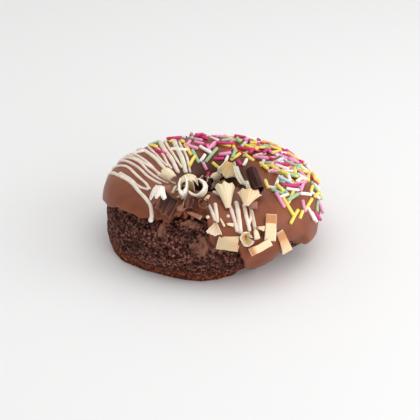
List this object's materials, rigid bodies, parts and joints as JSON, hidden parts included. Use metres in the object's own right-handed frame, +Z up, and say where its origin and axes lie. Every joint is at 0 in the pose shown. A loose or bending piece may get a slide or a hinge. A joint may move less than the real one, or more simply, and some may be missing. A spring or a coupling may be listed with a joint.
{
  "type": "ring doughnut",
  "caption": "Chocolate ring doughnut: bare crumb at one side, milk chocolate coating, white drizzle, sugar strands, rolled chocolate curls and toasted coconut chips.",
  "frame": {"origin": "middle of the footprint of the doughnut and its toppings, on the plane it rests on; the hole's axis is 0.5 mm towards -X and 1.2 mm towards +Y from it", "axes": "+Z up, -Y towards the bare crumb side that faces the viewer, +X to the viewer's right"},
  "size_m": [0.0864, 0.0912, 0.0393],
  "materials": {
    "crumb": "matte, porous crumb",
    "coating": "satin milk chocolate",
    "white_chocolate": "satin",
    "striped_chocolate": "satin, striped",
    "dark_chocolate": "satin",
    "milk_chocolate": "satin",
    "coconut": "matte, browned at the edges",
    "drizzle": "satin white chocolate",
    "sugar_strands": "satin, several colours"
  },
  "bodies": {
    "root": {"cake": "crumb", "coating": "coating", "white_curl_1": "white_chocolate", "white_curl_2": "white_chocolate", "white_curl_3": "white_chocolate", "white_curl_4": "white_chocolate", "white_curl_5": "white_chocolate", "white_curl_6": "white_chocolate", "white_curl_7": "white_chocolate", "white_curl_8": "white_chocolate", "white_curl_9": "white_chocolate", "white_curl_10": "white_chocolate", "white_curl_11": "white_chocolate", "striped_curl_1": "striped_chocolate", "striped_curl_2": "striped_chocolate", "dark_curl_1": "dark_chocolate", "dark_curl_2": "dark_chocolate", "dark_curl_3": "dark_chocolate", "dark_curl_4": "dark_chocolate", "dark_curl_5": "dark_chocolate", "milk_curl_1": "milk_chocolate", "milk_curl_2": "milk_chocolate", "coconut_chip_1": "coconut", "coconut_chip_2": "coconut", "coconut_chip_3": "coconut", "coconut_chip_4": "coconut", "coconut_chip_5": "coconut", "coconut_chip_6": "coconut"}
  },
  "joints": []
}
